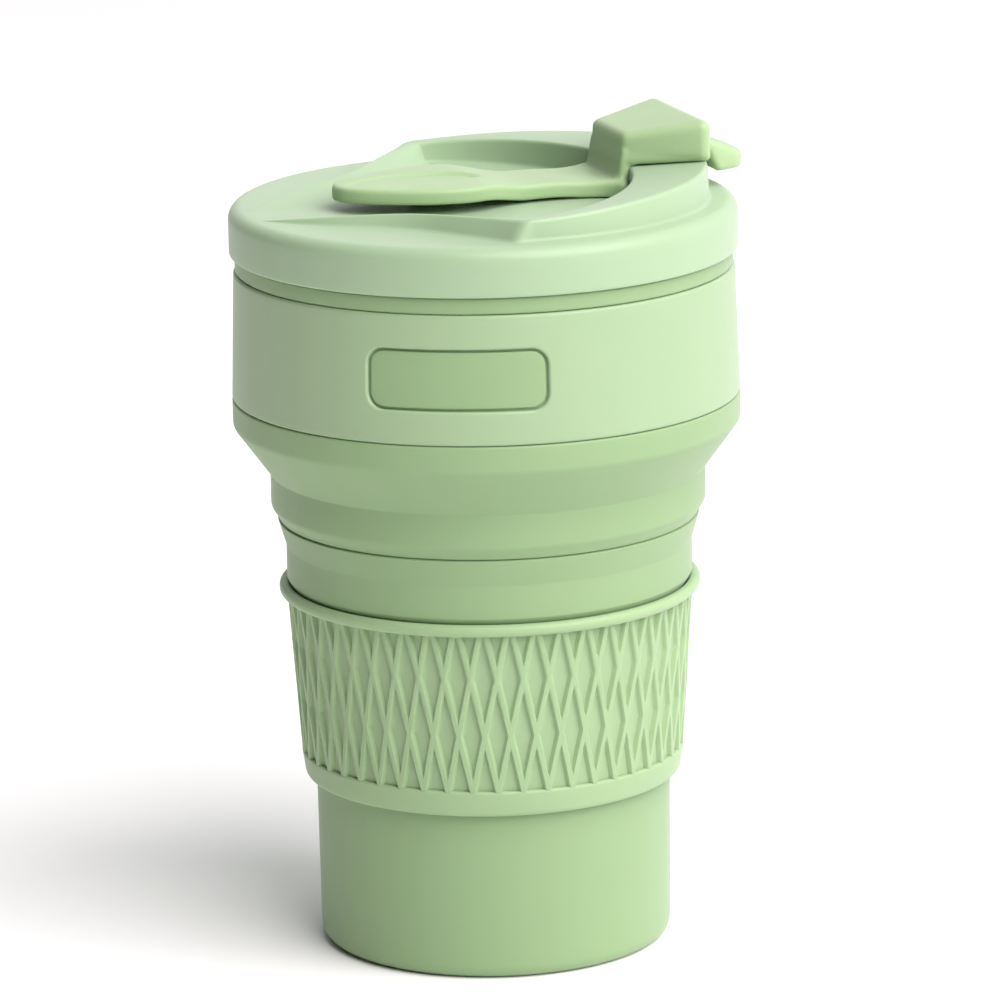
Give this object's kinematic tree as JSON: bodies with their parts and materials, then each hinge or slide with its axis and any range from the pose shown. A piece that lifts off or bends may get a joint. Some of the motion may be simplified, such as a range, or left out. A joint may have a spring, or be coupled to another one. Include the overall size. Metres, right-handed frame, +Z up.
{
  "type": "collapsible travel cup",
  "caption": "Folding silicone travel cup with a rigid collar, a ribbed grip sleeve, and a push-on lid with a flip-up drinking stopper.",
  "frame": {"origin": "middle of the base's underside, on the cup's axis", "axes": "+Z up along the cup's axis, +X towards the drinking spout and thumb tab"},
  "size_m": [0.0981, 0.0952, 0.1552],
  "materials": {
    "silicone": "matte moulded silicone",
    "collar_plastic": "satin moulded polypropylene",
    "lid_plastic": "satin moulded polypropylene",
    "stopper_silicone": "matte moulded silicone",
    "sleeve_silicone": "matte moulded silicone"
  },
  "bodies": {
    "base": {"base_cup": "silicone", "lower_fold": "silicone"},
    "lower": {"lower_stage": "silicone", "middle_fold": "silicone"},
    "middle": {"middle_stage": "silicone", "upper_fold": "silicone"},
    "upper": {"upper_stage": "silicone", "collar": "collar_plastic"},
    "lid": {"lid": "lid_plastic", "stopper_pad": "stopper_silicone"},
    "stopper": {"stopper_block": "stopper_silicone"},
    "sleeve": {"sleeve": "sleeve_silicone"}
  },
  "joints": [
    {"name": "collapse", "type": "slide", "parent": "base", "child": "lower", "axis": [0, 0, -1], "range_m": [0, 0.03], "deforming": ["lower_fold"]},
    {"name": "middle_collapse", "type": "slide", "parent": "lower", "child": "middle", "axis": [0, 0, -1], "range_m": [0, 0.011], "deforming": ["middle_fold"]},
    {"name": "upper_collapse", "type": "slide", "parent": "middle", "child": "upper", "axis": [0, 0, -1], "range_m": [0, 0.019], "deforming": ["upper_fold"]},
    {"name": "lid_lift", "type": "slide", "parent": "upper", "child": "lid", "axis": [0, 0, 1], "range_m": [0, 0.06]},
    {"name": "stopper_flip", "type": "hinge", "parent": "lid", "child": "stopper", "pos_m": [0.01, 0, 0.1446], "axis": [0, -1, 0], "range_deg": [0, 100]},
    {"name": "sleeve_slide", "type": "slide", "parent": "lower", "child": "sleeve", "axis": [0, 0, 1], "range_m": [-0.031, 0]}
  ],
  "couplings": [
    {"joint": "middle_collapse", "follows": "collapse", "ratio": 0.3666},
    {"joint": "upper_collapse", "follows": "collapse", "ratio": 0.6333}
  ]
}
